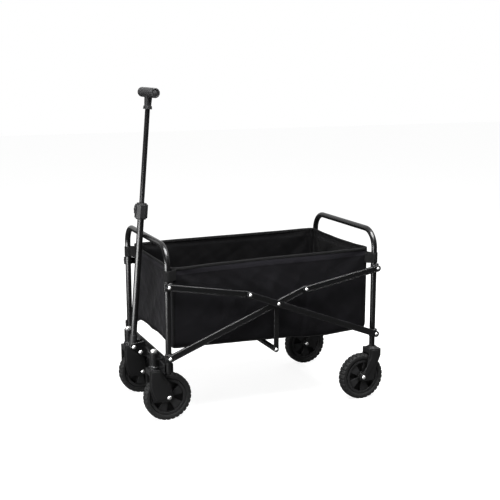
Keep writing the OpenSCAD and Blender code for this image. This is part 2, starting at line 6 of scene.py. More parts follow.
import bpy
import numpy as np
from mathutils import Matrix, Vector


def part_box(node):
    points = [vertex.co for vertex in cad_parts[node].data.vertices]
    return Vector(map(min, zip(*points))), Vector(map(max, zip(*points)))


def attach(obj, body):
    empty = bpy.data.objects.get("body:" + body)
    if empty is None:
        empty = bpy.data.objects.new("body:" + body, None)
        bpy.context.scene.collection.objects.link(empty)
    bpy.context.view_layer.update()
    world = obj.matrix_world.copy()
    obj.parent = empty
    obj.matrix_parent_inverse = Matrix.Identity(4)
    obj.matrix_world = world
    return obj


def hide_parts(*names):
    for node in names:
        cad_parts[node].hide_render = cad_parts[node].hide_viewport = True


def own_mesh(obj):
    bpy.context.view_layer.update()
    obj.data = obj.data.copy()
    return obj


bl_info = {
    "name": "Folding camp wagon",
    "version": (1, 0, 0),
    "blender": (4, 5, 0),
    "location": "3D View > Sidebar > Wagon",
    "description": "Builds the looks of a folding camp wagon around its packed frame",
    "category": "Object",
}

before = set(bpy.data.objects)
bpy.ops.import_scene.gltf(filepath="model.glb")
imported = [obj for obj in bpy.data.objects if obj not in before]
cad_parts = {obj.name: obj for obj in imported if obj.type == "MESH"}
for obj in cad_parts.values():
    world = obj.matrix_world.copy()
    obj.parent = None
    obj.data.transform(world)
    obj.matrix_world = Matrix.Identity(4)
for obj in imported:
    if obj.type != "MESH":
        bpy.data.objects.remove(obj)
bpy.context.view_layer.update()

TAU = 2 * math.pi
SIDES = ("left", "right")
WHEELS = ("front_left", "front_right", "rear_left", "rear_right")
BASKET_NODES = ["bag_front_panel", "bag_rear_panel", "bag_floor_front", "bag_floor_rear"]
BASKET_NODES += [f"bag_side_{side}_{i}" for side in SIDES for i in (1, 2, 3, 4)]


def place(node):
    """A CAD node's lowest and highest corners as arrays."""
    low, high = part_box(node)
    return np.array(low), np.array(high)


# Places read from the frame
UPRIGHT_R = (place("rear_hoop")[1][0] - place("rear_hoop")[0][0]) / 2
UPRIGHT_Y = place("rear_hoop")[1][1] - UPRIGHT_R
FRONT_X = (place("front_hoop")[0][0] + place("front_hoop")[1][0]) / 2
REAR_X = (place("rear_hoop")[0][0] + place("rear_hoop")[1][0]) / 2
WALL_Y = place("bag_side_left_1")[1][1]
RIM_Z = place("bag_side_left_1")[1][2]
FLOOR_Z = place("bag_floor_front")[0][2]
BASKET_FRONT = place("bag_side_left_1")[1][0]
BASKET_REAR = place("bag_side_left_4")[0][0]
FOLDED_LEN = 0.080  # between the middles of the front and rear uprights of the folded wagon
FOLDED_GAP = FOLDED_LEN - 2 * (FRONT_X - BASKET_FRONT)

# Nominal spans of the cloth's folds and creases: a long wall, an end wall and a wall's height
SIDE_SPAN, END_SPAN, WALL_DROP = 0.66, 0.39, 0.26
# Added to Y in the floor's UV map, so that it lies past the walls' rows of stitches
FLOOR_UV = 5


# ---------------------------------------------------------------- sizes and colours


def length(name, text, default, low=0.0, high=10.0):
    """A size in metres for the panel."""
    return bpy.props.FloatProperty(
        name=name, description=text, default=default, min=low, max=high, unit="LENGTH", precision=4
    )


def heading(name, text, degrees):
    """An angle for the panel."""
    turn = math.radians(degrees)
    return bpy.props.FloatProperty(name=name, description=text, default=turn, subtype="ANGLE")


def amount(name, text, default, **more):
    """A number that is never below zero, for the panel."""
    return bpy.props.FloatProperty(name=name, description=text, default=default, min=0.0, **more)


def colour(name, text, value):
    """A surface colour for the panel."""
    return bpy.props.FloatVectorProperty(
        name=name, description=text, default=value, size=3, min=0.0, max=1.0, subtype="COLOR"
    )


class BasketSizes(bpy.types.PropertyGroup):
    """Sizes of the sewn basket."""

    cloth: length("Cloth thickness", "Thickness of the coated cloth", 0.0016, 0.0005, 0.004)
    corner: length("Corner radius", "Radius of the upright corners seen from above", 0.013, 0.004, 0.05)
    belly: length("Side belly", "How far the long sides bow outwards", 0.004, 0.0, 0.009)
    sag: length("Floor sag", "How far the floor hangs below its edge", 0.005, 0.0, 0.012)
    fold: length("Fold depth", "Depth of the soft folds in the walls", 0.0044, 0.0, 0.006)
    crease: length("Crease depth", "Depth of the long sides' upright creases", 0.0042, 0.0, 0.006)
    hem: length("Hem width", "Width of the turned hem at the rim", 0.024, 0.01, 0.05)
    tape: length("Tape height", "Height of the binding tape on the rim", 0.010, 0.004, 0.02)
    piping: length("Piping radius", "Radius of the piping round the floor", 0.0021, 0.001, 0.004)
    mesh_step: length("Mesh step", "Spacing of the cloth's grid", 0.005, 0.003, 0.02)


class TyreSizes(bpy.types.PropertyGroup):
    """Sizes of the tyre tread."""

    lugs: bpy.props.IntProperty(
        name="Lugs", description="Lugs round each shoulder", default=30, min=12, max=60
    )
    depth: length("Lug depth", "Depth of the grooves between the lugs", 0.0036, 0.0005, 0.004)


class Colours(bpy.types.PropertyGroup):
    """Colours of the finishes."""

    cloth: colour("Basket cloth", "Coated polyester cloth", (0.0056, 0.0053, 0.0066))
    webbing: colour("Webbing", "Loops, tape and piping", (0.0050, 0.0050, 0.0053))
    paint: colour("Frame paint", "Powder coat on the tubes and bars", (0.0055, 0.0055, 0.0058))
    plastic: colour("Moulded plastic", "Forks, collar and handle foot", (0.0095, 0.0095, 0.0100))
    grip: colour("Grip", "Pull handle grip", (0.0120, 0.0120, 0.0125))
    wheel: colour("Wheel", "Moulded wheels", (0.0200, 0.0200, 0.0208))
    rubber: colour("Tyre", "Tyre tread and walls", (0.0130, 0.0130, 0.0132))
    zinc: colour("Rivets and bolts", "Plated rivets, bolts and axles", (0.90, 0.90, 0.89))
    floor: colour("Studio floor", "Plain pale floor", (0.86, 0.86, 0.86))


class StageSizes(bpy.types.PropertyGroup):
    """Camera and lights."""

    camera: bpy.props.FloatVectorProperty(
        name="Camera place", description="Where the camera stands",
        default=(1.184, 2.786, 1.080), subtype="TRANSLATION",
    )
    yaw: heading("Camera yaw", "Turn of the view from -Y towards -X", 23.33)
    pitch: heading("Camera pitch", "How far the view looks down", 11.15)
    lens: amount("Lens", "Focal length on a 36 mm sensor", 68.0, unit="CAMERA")
    overhead: amount("Overhead light", "Power of the overhead light", 190.0, unit="POWER")
    key: amount("High front light", "Power of the high front light", 26.0, unit="POWER")
    side: amount("Low side light", "Power of the low side light", 56.0, unit="POWER")
    sky: amount("Backdrop", "Brightness of the far side", 1.0, subtype="FACTOR")
    shade: amount("Near side", "Brightness of the near side", 0.06, subtype="FACTOR")
    glow: amount("Floor glow", "Evenness of the pale floor", 0.86, subtype="FACTOR")


# ---------------------------------------------------------------- shader expressions


class Value:
    """One output socket. + - * / < > and abs on it add Math nodes, and a number may stand first."""

    def __init__(self, finish, socket):
        self.finish, self.socket = finish, socket

    def __add__(self, other):
        return self.finish.math("ADD", self, other)

    def __sub__(self, other):
        return self.finish.math("SUBTRACT", self, other)

    def __rsub__(self, other):
        return self.finish.math("SUBTRACT", other, self)

    def __mul__(self, other):
        return self.finish.math("MULTIPLY", self, other)

    def __truediv__(self, other):
        return self.finish.math("DIVIDE", self, other)

    def __lt__(self, other):
        return self.finish.math("LESS_THAN", self, other)

    def __gt__(self, other):
        return self.finish.math("GREATER_THAN", self, other)

    def __abs__(self):
        return self.finish.math("ABSOLUTE", self)

    __radd__ = __add__
    __rmul__ = __mul__


class Finish:
    """The nodes of a material or a world being built. node() makes any node; surface() ends a
    material with a Principled shader."""

    def __init__(self, owner):
        owner.use_nodes = True
        self.owner, self.tree = owner, owner.node_tree
        self.tree.nodes.clear()

    def node(self, kind, settings=None, inputs=None, out=0):
        """Adds a node: its settings first, then its sockets' values or links. Returns output out."""
        made = self.tree.nodes.new(kind)
        for name, value in (settings or {}).items():
            setattr(made, name, value)
        for key, value in (inputs or {}).items():
            if isinstance(value, Value):
                self.tree.links.new(value.socket, made.inputs[key])
            elif isinstance(value, (tuple, list)) and len(made.inputs[key].default_value) == 4:
                made.inputs[key].default_value = (*value[:3], 1)
            else:
                made.inputs[key].default_value = value
        return Value(self, made.outputs[out]) if made.outputs else None

    def math(self, operation, *values):
        return self.node("ShaderNodeMath", {"operation": operation}, dict(enumerate(values)))

    def dot(self, first, second):
        """The dot product of two vectors."""
        return self.node(
            "ShaderNodeVectorMath", {"operation": "DOT_PRODUCT"}, {0: first, 1: second}, out="Value"
        )

    def sine(self, value):
        return self.math("SINE", value)

    def place(self):
        """Object coordinates."""
        return self.node("ShaderNodeTexCoord", out="Object")

    def along(self, name="cloth_uv"):
        """The piece's own UV map, in metres, as its two values."""
        uv = self.node("ShaderNodeUVMap", {"uv_map": name})
        parts = self.node("ShaderNodeSeparateXYZ", inputs={0: uv})
        return uv, parts, Value(self, parts.socket.node.outputs[1])

    def noise(self, at, scale, detail=2.0, roughness=0.5):
        inputs = {"Vector": at, "Scale": scale, "Detail": detail, "Roughness": roughness}
        return self.node("ShaderNodeTexNoise", inputs=inputs)

    def blend(self, factor, first, second):
        """Mixes two colours."""
        return self.node("ShaderNodeMix", {"data_type": "RGBA"}, {0: factor, 6: first, 7: second}, out=2)

    def bump(self, height, distance, strength=1.0, under=None):
        inputs = {"Height": height, "Distance": distance, "Strength": strength}
        if under is not None:
            inputs["Normal"] = under
        return self.node("ShaderNodeBump", inputs=inputs)

    def edges(self, radius, rub):
        """Softened edges: the normal rounded over radius, and a mask of the edges, which is
        one less the dot product of the rounded and the plain normal, times rub. Colour made lighter
        with the mask shows worn edges, and on the powder coat also a painted highlight."""
        soft = self.node("ShaderNodeBevel", {"samples": 6}, {"Radius": radius})
        plain = self.node("ShaderNodeNewGeometry", out="Normal")
        return soft, self.math("MINIMUM", (1 - self.dot(soft, plain)) * rub, 1.0)

    def openness(self, distance):
        """1 in the open and towards 0 where other faces stand within that distance."""
        return self.node("ShaderNodeAmbientOcclusion", {"samples": 8}, {"Distance": distance}, out="AO")

    def surface(self, **sockets):
        """Principled shader with those sockets, named in words such as base_color."""
        inputs = {name.replace("_", " ").title(): value for name, value in sockets.items()}
        inputs = {key.replace("Ior", "IOR"): value for key, value in inputs.items()}
        shader = self.node("ShaderNodeBsdfPrincipled", inputs=inputs, out="BSDF")
        self.node("ShaderNodeOutputMaterial", inputs={"Surface": shader})
        return self.owner


def material(name):
    """An empty material of that name, ready for its nodes."""
    return Finish(bpy.data.materials.new(name))


def lighter(base, share):
    """The colour times a share, with no channel above 1."""
    return tuple(min(1.0, c * share) for c in base)


def painted_steel(base):
    """Semi-gloss powder coat: fine orange peel, cloudy gloss, a little dust, and lighter edges that are worn
    paint and a painted highlight.
    """
    f = material("powder_coat")
    at = f.place()
    peel = f.noise(at, 950.0, 2.0)
    cloud = f.noise(at, 22.0, 3.0)
    soft, edge_mask = f.edges(0.0055, 2.2)
    shade = f.blend(cloud, lighter(base, 0.85), lighter(base, 1.2))
    # Lighter edges: worn paint, and a painted highlight on the edges
    shade = f.blend(edge_mask * (0.5 + cloud), shade, lighter(base, 7.0))
    gloss = 0.17 + 0.12 * cloud + 0.05 * peel
    return f.surface(
        base_color=shade, roughness=gloss, normal=f.bump(peel, 0.00006, 0.6, soft), specular_ior_level=0.5
    )


def moulded(name, base, rough, grain=0.00009, recess_shade=0.0):
    """Moulded nylon: fine spark-eroded grain, faint flow marks, and painted shade in the deep recesses, as
    dark as the last argument says, by how little open space is within 14 mm of them."""
    f = material(name)
    at = f.place()
    spark = f.noise(at, 1500.0, 3.0, 0.7)
    flow = f.noise(at, 30.0, 4.0)
    soft, edge_mask = f.edges(0.0018, 1.8)
    shade = f.blend(flow, lighter(base, 0.85), lighter(base, 1.18))
    shade = f.blend(edge_mask * (0.4 + flow), shade, lighter(base, 2.6))
    if recess_shade:
        # Painted shade: deep recesses darkened by how little open space is near them
        shade = f.blend((1 - f.openness(0.014)) * recess_shade, shade, lighter(base, 0.06))
    return f.surface(
        base_color=shade,
        roughness=rough - 0.06 + 0.12 * flow,
        normal=f.bump(spark, grain, 0.7, soft),
        specular_ior_level=0.42,
    )


def rubber(base):
    """Tyre compound: dull, slightly dusty on the tread, painted shade in the grooves, fine mould texture."""
    f = material("tyre_compound")
    at = f.place()
    pore = f.noise(at, 1100.0, 3.0, 0.65)
    dust = f.noise(at, 60.0, 5.0, 0.6)
    shade = f.blend(dust * 0.7, lighter(base, 0.85), lighter(base, 1.55))
    # Painted shade: grooves darkened by how little open space is near them
    shade = f.blend((1 - f.openness(0.006)) * 2.0, shade, lighter(base, 0.1))
    return f.surface(
        base_color=shade,
        roughness=0.68 + 0.16 * dust,
        normal=f.bump(pore, 0.00014, 0.8),
        specular_ior_level=0.35,
    )


def plated(base):
    """Bright zinc plate with faint spangle and handling haze."""
    f = material("zinc_plating")
    at = f.place()
    haze = f.noise(at, 260.0, 4.0, 0.6)
    shade = f.blend(haze, lighter(base, 0.86), lighter(base, 1.1))
    return f.surface(
        base_color=shade, metallic=1.0, roughness=0.38 + 0.2 * haze, normal=f.bump(haze, 0.00005, 0.5)
    )


def woven_cloth(base, hem):
    """Coated plain weave: threads crossing every 0.6 mm, slubs, soft creases, and lighter and darker
    cloudy patches that are painted light and shade of the creases and wrinkles; a painted sheen on
    the outside of the hem, and painted shade on the inner faces. The UV map is in metres; its second
    value is the distance below the rim on the walls, and FLOOR_UV more than Y on the floor. A face is
    an outside face where its normal points away from the origin: the walls' outer faces and the
    floor's upper face."""
    thread, stitch_pitch, stitch_half, row_gap = 0.0006, 0.0042, 0.0007, 0.0035
    f = material("basket_weave")
    uv, u, v = f.along()
    pitch = TAU / (2 * thread)
    weave = f.sine(u * pitch) * f.sine(v * pitch)
    slub = f.noise(uv, 900.0, 2.0)
    crease = f.noise(uv, 26.0, 5.0, 0.62)
    crumple = f.node(
        "ShaderNodeTexVoronoi", {"feature": "SMOOTH_F1"}, {"Vector": uv, "Scale": 34.0, "Smoothness": 0.6}
    )
    rows = (abs(v - hem) < stitch_half) + (abs(v - (hem - row_gap)) < stitch_half)
    stitch = rows * (f.math("FRACT", u / stitch_pitch) < 0.68)
    cloud = f.noise(uv, 9.0, 3.0, 0.5)
    # Painted light and shade: lighter and darker patches following the creases and wrinkles
    tone = f.blend(crease * 0.5 + cloud * 0.5, lighter(base, 0.15), lighter(base, 1.8))
    outside = f.dot(f.node("ShaderNodeNewGeometry", out="Normal"), f.place()) > 0.0
    # Painted sheen: the hem band lighter on the outer faces
    tone = f.blend((v < hem) * outside * 0.8, tone, lighter(base, 2.6))
    shade = f.blend(stitch, tone, lighter(base, 2.6))
    # Painted shade: the inner faces darkened
    shade = f.blend(0.25 + 0.75 * outside, lighter(base, 0.1), shade)
    relief = f.bump(crease * 0.7 + crumple * 0.3, 0.0024, 0.75)
    relief = f.bump(weave * 0.5 + slub * 0.5 + stitch * 3.0, 0.00013, 0.8, relief)
    return f.surface(
        base_color=shade,
        roughness=0.52 + 0.16 * crease + 0.06 * weave,
        normal=relief,
        specular_ior_level=0.17,
        sheen_weight=0.04,
        sheen_roughness=0.45,
    )


def woven_tape(base):
    """Polyester webbing: ribs 1.6 mm apart crossed by a fine twill."""
    f = material("webbing_weave")
    uv, u, v = f.along()
    rib = f.sine(v * (TAU / 0.0016))
    twill = f.sine((u + v * 0.6) * (TAU / 0.0011))
    worn = f.noise(uv, 120.0, 4.0)
    shade = f.blend(worn, lighter(base, 0.7), lighter(base, 1.5))
    relief = f.bump(rib * 0.6 + twill * 0.4, 0.0002, 0.9)
    return f.surface(base_color=shade, roughness=0.7 + 0.12 * worn, normal=relief, specular_ior_level=0.25)


# ---------------------------------------------------------------- surface makers


def put(name, points, faces, uv=None, smooth=True):
    """Makes an object at the origin from an array of points and an array of quads, where a fourth
    corner of -1 makes a triangle; uv has one pair for each corner of each row of faces."""
    mesh = bpy.data.meshes.new(name)
    mesh.vertices.add(len(points))
    mesh.vertices.foreach_set("co", np.asarray(points, np.float32).ravel())
    used = faces.ravel() >= 0
    counts = (faces >= 0).sum(1)
    mesh.loops.add(int(used.sum()))
    mesh.loops.foreach_set("vertex_index", faces.ravel()[used].astype(np.int32))
    mesh.polygons.add(len(faces))
    mesh.polygons.foreach_set("loop_start", (np.cumsum(counts) - counts).astype(np.int32))
    mesh.polygons.foreach_set("loop_total", counts.astype(np.int32))
    mesh.update(calc_edges=True)
    mesh.polygons.foreach_set("use_smooth", np.full(len(faces), smooth))
    if uv is not None:
        layer = mesh.uv_layers.new(name="cloth_uv")
        layer.uv.foreach_set("vector", np.asarray(uv, np.float32)[used].ravel())
    mesh.validate()
    made = bpy.data.objects.new(name, mesh)
    bpy.context.scene.collection.objects.link(made)
    return made


def grid_faces(rows, columns, wrap_rows=False, wrap_columns=False):
    """Quads of a grid of points numbered row by row; a wrapped way joins its last line to its first.
    Each quad runs (r, c), (r + 1, c), (r + 1, c + 1), (r, c + 1)."""
    down, across = rows - (not wrap_rows), columns - (not wrap_columns)
    r, c = np.meshgrid(np.arange(down), np.arange(across), indexing="ij")
    r1, c1 = (r + 1) % rows * columns, (c + 1) % columns
    r = r * columns
    return np.stack([r + c, r1 + c, r1 + c1, r + c1], -1).reshape(-1, 4)


def squared(wave, power):
    """A sine or cosine pressed towards a square wave: its sign times its size to a power."""
    return np.sign(wave) * np.abs(wave) ** power


def smoothstep(low, high, x):
    """0 below low, 1 above high, and 3t^2 - 2t^3 between, t being how far x is from low to high."""
    t = np.clip((x - low) / (high - low), 0, 1)
    return t * t * (3 - 2 * t)


def eased(x, stops, values):
    """The values at the stops, joined by smooth steps that are level at each stop."""
    stops, values = np.asarray(stops, float), np.asarray(values, float)
    i = np.clip(np.searchsorted(stops, x, side="right") - 1, 0, len(stops) - 2)
    return values[i] + (values[i + 1] - values[i]) * smoothstep(stops[i], stops[i + 1], x)


def tube_along(path, outward, across, rise, closed):
    """A closed profile carried along a path. Point (i, k) is path i plus across[k] times the
    outward direction there plus rise[k] times up turned square to the path. Returns points, faces
    and UV in metres; an open path gets a fan at each end."""
    ahead = np.gradient(path, axis=0)
    if closed:
        ahead = np.roll(path, -1, 0) - np.roll(path, 1, 0)
    ahead /= np.linalg.norm(ahead, axis=1, keepdims=True)
    side = outward - (outward * ahead).sum(1, keepdims=True) * ahead
    side /= np.linalg.norm(side, axis=1, keepdims=True)
    up = np.cross(side, ahead)
    points = path[:, None] + side[:, None] * across[None, :, None] + up[:, None] * rise[None, :, None]
    n, m = len(path), len(across)
    faces = grid_faces(n, m, wrap_rows=closed, wrap_columns=True)
    step = np.linalg.norm(np.diff(path, axis=0, append=path[:1]), axis=1)
    run = np.concatenate([[0], np.cumsum(step)])
    edge = np.hypot(np.diff(across, append=across[:1]), np.diff(rise, append=rise[:1]))
    round_it = np.concatenate([[0], np.cumsum(edge)])
    rows = n if closed else n - 1
    i, k = np.meshgrid(np.arange(rows), np.arange(m), indexing="ij")
    uv = np.stack(
        [
            np.stack([run[i], run[i + 1], run[i + 1], run[i]], -1),
            np.stack([round_it[k], round_it[k], round_it[k + 1], round_it[k + 1]], -1),
        ],
        -1,
    ).reshape(-1, 2)
    points = points.reshape(-1, 3)
    if not closed:
        k = np.arange(m)
        k1, tip, none = (k + 1) % m, np.full(m, len(points)), np.full(m, -1)
        start = np.stack([tip, k, k1, none], -1)
        finish = np.stack([tip + 1, (n - 1) * m + k1, (n - 1) * m + k, none], -1)
        points = np.concatenate([points, path[:1], path[-1:]])
        faces = np.concatenate([faces, start, finish])
        uv = np.concatenate([uv, np.zeros((8 * m, 2))])
    return points, faces, uv


def joined(parts):
    """Several tube_along results as one set of points, faces and UV."""
    starts = np.cumsum([0] + [len(p) for p, _, _ in parts])
    points = np.concatenate([p for p, _, _ in parts])
    faces = np.concatenate([np.where(f < 0, f, f + at) for (_, f, _), at in zip(parts, starts)])
    return points, faces, np.concatenate([uv for _, _, uv in parts])


# ---------------------------------------------------------------- the basket's shape


def outline(corner, count_x, count_y):
    """The basket seen from above: a rectangle with quarter-circle corners, walked anticlockwise
    from the middle of the rear right corner as four sides with evenly spaced points. Returns the
    points, the outward directions, the side each point is on and its share s of that side."""
    half = np.array([(BASKET_FRONT - BASKET_REAR) / 2, WALL_Y])
    centre = np.array([(BASKET_FRONT + BASKET_REAR) / 2, 0.0])
    arc = math.pi * corner / 4
    points, normals, sides, shares = [], [], [], []
    for side in range(4):
        reach, depth = (half[0], half[1]) if side % 2 == 0 else (half[1], half[0])
        count = count_x if side % 2 == 0 else count_y
        straight = 2 * (reach - corner)
        s = np.arange(count) / count
        run = s * (straight + 2 * arc)
        angle = np.clip(run - arc, None, 0) / corner + np.clip(run - arc - straight, 0, None) / corner
        along = np.clip(run - arc, 0, straight) - straight / 2 + corner * np.sin(angle)
        out = depth - corner + corner * np.cos(angle)
        turn = side * math.pi / 2
        forth, outer = np.array([math.cos(turn), math.sin(turn)]), np.array([math.sin(turn), -math.cos(turn)])
        points.append(centre + along[:, None] * forth + out[:, None] * outer)
        normals.append(np.sin(angle)[:, None] * forth + np.cos(angle)[:, None] * outer)
        sides.append(np.full(count, side))
        shares.append(s)
    return np.concatenate(points), np.concatenate(normals), np.concatenate(sides), np.concatenate(shares)


# Heights of the rim above RIM_Z and of the floor's edge above FLOOR_Z, along the right, front,
# left and rear sides, each from its first corner to its last
SPOTS = (0.0, 0.25, 0.5, 0.75, 1.0)
RIM_RISE = (
    (0.005, 0.003, 0.002, 0.001, -0.002),
    (-0.002, -0.006, -0.007, -0.007, -0.008),
    (-0.008, -0.003, 0.000, 0.001, 0.004),
    (0.004, 0.000, -0.001, 0.001, 0.005),
)
EDGE_RISE = (
    (0.001, -0.006, -0.001, 0.006, 0.010),
    (0.010, 0.017, 0.019, 0.017, 0.010),
    (0.010, 0.007, 0.002, -0.008, 0.001),
    (0.001, 0.000, -0.001, 0.000, 0.001),
)


def heights(table, side, share):
    """The table's height at each point of the outline."""
    rows = np.stack([eased(share, SPOTS, row) for row in table])
    return rows[side, np.arange(len(side))]


# Each wave's length, slant and weight
FOLD_WAVES = (
    (0.210, 0.35, 1.0), (0.135, -0.6, 0.8), (0.090, 0.9, 0.5), (0.062, -1.3, 0.32), (0.041, 0.15, 0.2)
)

# Each upright crease of a long side: its share along, the share down where it starts, its depth
CREASES = ((0.25, 0.3, 0.5), (0.5, 0.2, 0.35), (0.66, 0.35, 1.0), (0.75, 0.6, 0.4))


def folds(along, down, seed):
    """Soft folds of hanging cloth: five slanted waves, each bent by a slower wave, and each fold
    pinched into a ridge as 0.55 - |sin|^0.8. Runs from about -1 to 1."""
    total = np.zeros(np.broadcast_shapes(along.shape, down.shape))
    for i, (size, slant, weight) in enumerate(FOLD_WAVES):
        phase = seed * 1.7 + i * 2.1
        bend = 0.6 * np.sin(TAU * down / 0.23 + phase) + 0.4 * np.sin(TAU * along / 0.37 - phase)
        wave = np.sin(math.pi * (along + slant * down) / size + phase + bend)
        total += weight * (0.55 - np.abs(wave) ** 0.8)
    return total / 1.6


def wall_offset(side, share, down, run, sizes):
    """How far the wall stands outside the outline, for each point of the outline (columns) and
    each share down from rim to floor edge (rows): a belly or hollow, drag lines from the top
    corners, soft folds, the doubled hem, a tuck where the cloth turns under, and a groove with a
    bell-shaped section along each crease."""
    end_hollow, drag_depth, drag_reach, hem_rise, tuck_depth = -0.0065, 0.0016, 0.2, 0.0011, -0.004
    crease_half = 0.013
    s, t = share[None, :], down[:, None]
    drop = t * WALL_DROP
    long_side = (side % 2 == 0)[None, :]
    away = np.sin(math.pi * s)
    middle = away**0.7 * np.sin(math.pi * np.clip(t, 0, 1) ** 0.8)
    belly = np.where(long_side, sizes.belly, end_hollow) * middle
    drag = np.zeros_like(belly)
    for corner in (s, 1 - s):
        reach = np.where(long_side, corner * SIDE_SPAN, corner * END_SPAN)
        fan = np.arctan2(drop, reach + 0.012)
        near = np.exp(-((reach**2 + drop**2) / drag_reach**2))
        drag += drag_depth * near * np.sin(9 * fan + 1.2) * smoothstep(0.0, 0.04, reach)
    soft = sizes.fold * folds(run[None, :], drop, 1.0) * smoothstep(0.02, 0.25, t) * away**0.5
    hem = hem_rise * (1 - smoothstep(sizes.hem - 0.0015, sizes.hem + 0.001, drop))
    tuck = tuck_depth * smoothstep(0.93, 1.0, t) ** 2
    crease = np.zeros_like(belly)
    for at, start, depth in CREASES:
        bent = s - at - 0.012 * np.sin(5 * t + 9 * at)
        bell = np.exp(-((bent / crease_half) ** 2))
        crease -= depth * sizes.crease * bell * smoothstep(start, start + 0.3, t)
    crease *= long_side * (1 - smoothstep(0.9, 1.0, t))
    return belly + drag + soft + hem + tuck + crease


def basket_grid(sizes):
    """The lofted wall: point (row, column) is the outline point pushed out by wall_offset, at a
    height that runs straight from the rim to the floor's edge."""
    count_x = int(round((BASKET_FRONT - BASKET_REAR) / sizes.mesh_step))
    count_y = int(round(2 * WALL_Y / sizes.mesh_step))
    plan, normal, side, share = outline(sizes.corner, count_x, count_y)
    run = np.concatenate([[0], np.cumsum(np.linalg.norm(np.diff(plan, axis=0, append=plan[:1]), axis=1))])
    down = np.linspace(0, 1, int(round((RIM_Z - FLOOR_Z) / sizes.mesh_step)) + 1)
    rim = RIM_Z + heights(RIM_RISE, side, share)
    edge = FLOOR_Z + heights(EDGE_RISE, side, share)
    push = wall_offset(side, share, down, run[:-1], sizes)
    xy = plan[None] + normal[None] * push[..., None]
    z = rim[None] + (edge - rim)[None] * down[:, None]
    return np.concatenate([xy, z[..., None]], -1), normal, run, (count_x, count_y)


def basket_floor(ring, counts, sizes):
    """The floor, filled between its four edges: each point is the sum of the two straight blends
    between opposite edges less the blend of the corners, lowered by the sag, by a groove along
    the middle fold and by shallow ripples. Returns the inner points only, row by row along X."""
    groove_depth, groove_half, ripple_depth, edge_rows = 0.0022, 0.006, 0.0010, 8
    nx, ny = counts
    right, front = ring[: nx + 1], ring[nx : nx + ny + 1]
    left = ring[nx + ny : 2 * nx + ny + 1][::-1]
    rear = np.concatenate([ring[2 * nx + ny :], ring[:1]])[::-1]
    s, t = (np.arange(nx + 1) / nx)[None, :, None], (np.arange(ny + 1) / ny)[:, None, None]
    sheet = right[None] * (1 - t) + left[None] * t + rear[:, None] * (1 - s) + front[:, None] * s
    sheet -= (
        right[0] * (1 - s) * (1 - t) + right[-1] * s * (1 - t) + left[0] * (1 - s) * t + left[-1] * s * t
    )
    s, t = s[..., 0], t[..., 0]
    inside = np.clip(np.minimum(np.minimum(s, 1 - s) * nx, np.minimum(t, 1 - t) * ny) / edge_rows, 0, 1)
    sag = sizes.sag * np.sin(math.pi * s) * np.sin(math.pi * t)
    groove = groove_depth * np.exp(-(((s - 0.5) * SIDE_SPAN / groove_half) ** 2))
    ripple = ripple_depth * folds(sheet[..., 0], sheet[..., 1], 4.0)
    sheet[..., 2] -= inside * (sag - groove + ripple)
    return sheet


def squeeze(piece):
    """The piece rides on the rear frame."""
    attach(piece, "rear_frame")
    float(FOLDED_GAP / (BASKET_FRONT - BASKET_REAR))
    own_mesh(piece)
    return piece


# ---------------------------------------------------------------- operators


class WAGON_OT_frame_finishes(bpy.types.Operator):
    """Gives each frame part the finish of its material slot"""

    bl_idname = "wagon.frame_finishes"
    bl_label = "Frame finishes"

    def execute(self, context):
        c = context.scene.wagon_colours
        finishes = {
            "frame_paint": painted_steel(tuple(c.paint)),
            "zinc_plate": plated(tuple(c.zinc)),
            "moulded_plastic": moulded("moulded_nylon", tuple(c.plastic), 0.5),
            "grip_plastic": moulded("grip_moulding", tuple(c.grip), 0.58, 0.00014),
            "wheel_plastic": moulded("wheel_moulding", tuple(c.wheel), 0.55, recess_shade=4.0),
            "tyre_rubber": rubber(tuple(c.rubber)),
            "basket_cloth": woven_cloth(tuple(c.cloth), context.scene.wagon_basket.hem),
        }
        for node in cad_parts.values():
            for holder in node.material_slots:
                holder.material = finishes[holder.material.name.split(".")[0]]
        return {"FINISHED"}


class WAGON_OT_basket(bpy.types.Operator):
    """Builds the sewn cloth basket as one sagging shell"""

    bl_idname = "wagon.basket"
    bl_label = "Cloth basket"

    def execute(self, context):
        sizes = context.scene.wagon_basket
        wall, _, run, (nx, ny) = basket_grid(sizes)
        rows, columns = wall.shape[:2]
        floor = basket_floor(wall[-1], (nx, ny), sizes)
        index = np.full((ny + 1, nx + 1), -1)
        ring = (rows - 1) * columns + np.arange(columns + 1) % columns
        index[0, :] = ring[: nx + 1]
        index[:, -1] = ring[nx : nx + ny + 1]
        index[-1, ::-1] = ring[nx + ny : 2 * nx + ny + 1]
        index[::-1, 0] = ring[2 * nx + ny :]
        index[1:-1, 1:-1] = rows * columns + np.arange((nx - 1) * (ny - 1)).reshape(ny - 1, nx - 1)
        points = np.concatenate([wall.reshape(-1, 3), floor[1:-1, 1:-1].reshape(-1, 3)])
        wall_faces = grid_faces(rows, columns, wrap_columns=True)
        floor_faces = index.ravel()[grid_faces(ny + 1, nx + 1)]
        r, k = np.meshgrid(np.arange(rows - 1), np.arange(columns), indexing="ij")
        drop = np.linspace(0, RIM_Z - FLOOR_Z, rows)
        wall_uv = np.stack(
            [
                np.stack([run[k], run[k], run[k + 1], run[k + 1]], -1),
                np.stack([drop[r], drop[r + 1], drop[r + 1], drop[r]], -1),
            ],
            -1,
        ).reshape(-1, 2)
        flat = floor.reshape(-1, 3)[grid_faces(ny + 1, nx + 1)].reshape(-1, 3)[:, :2] + (0, FLOOR_UV)
        uv = np.concatenate([wall_uv, flat])
        piece = put("basket", points, np.concatenate([wall_faces, floor_faces]), uv)
        solid = piece.modifiers.new("cloth", "SOLIDIFY")
        solid.thickness = sizes.cloth
        solid.offset = -1
        piece.data.materials.append(bpy.data.materials["basket_weave"])
        squeeze(piece)
        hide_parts(*BASKET_NODES)
        return {"FINISHED"}


def declare_basket():
    """Works out the sizes of the basket's cloth as a cross of a floor and four walls, and keeps none of them.
    """
    deep, wide, long = RIM_Z - FLOOR_Z, 2 * WALL_Y, BASKET_FRONT - BASKET_REAR
    wide + 2 * deep
    long + 2 * deep
    wide * long + 2 * deep * (wide + long)


